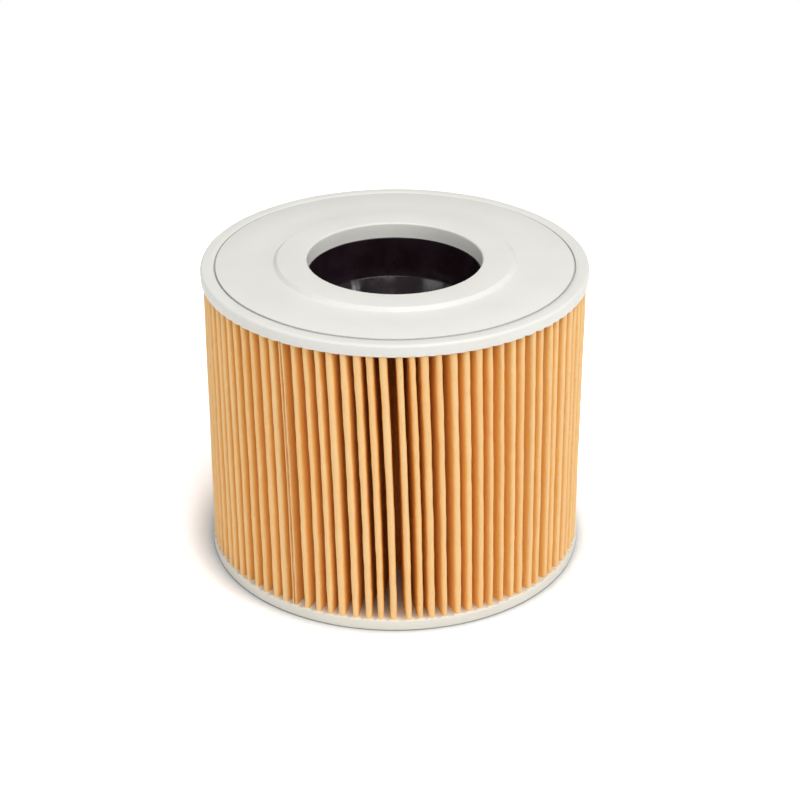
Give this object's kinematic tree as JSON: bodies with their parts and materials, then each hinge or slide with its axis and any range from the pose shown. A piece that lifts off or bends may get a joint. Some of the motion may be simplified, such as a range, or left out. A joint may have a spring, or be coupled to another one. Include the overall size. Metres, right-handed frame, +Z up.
{
  "type": "vacuum cleaner cartridge filter",
  "caption": "Round pleated paper filter between two cast end caps, the top one open with a raised sealing ring and a dark inner sleeve, for a wet and dry vacuum cleaner.",
  "frame": {"origin": "centre of the bottom end cap's outer face, which the filter stands on", "axes": "+Z up along the filter's axis, out of the open end; -Y towards the viewer of the picture"},
  "size_m": [0.188, 0.188, 0.1538],
  "materials": {
    "cast_polyurethane": "satin",
    "filter_paper": "matte",
    "seam_glue": "satin",
    "dark_plastic": "gloss"
  },
  "bodies": {
    "root": {"top_end_cap": "cast_polyurethane", "bottom_end_cap": "cast_polyurethane", "pleated_paper": "filter_paper", "seam_bead": "seam_glue", "neck_sleeve": "dark_plastic", "support_cage": "dark_plastic"}
  },
  "joints": []
}
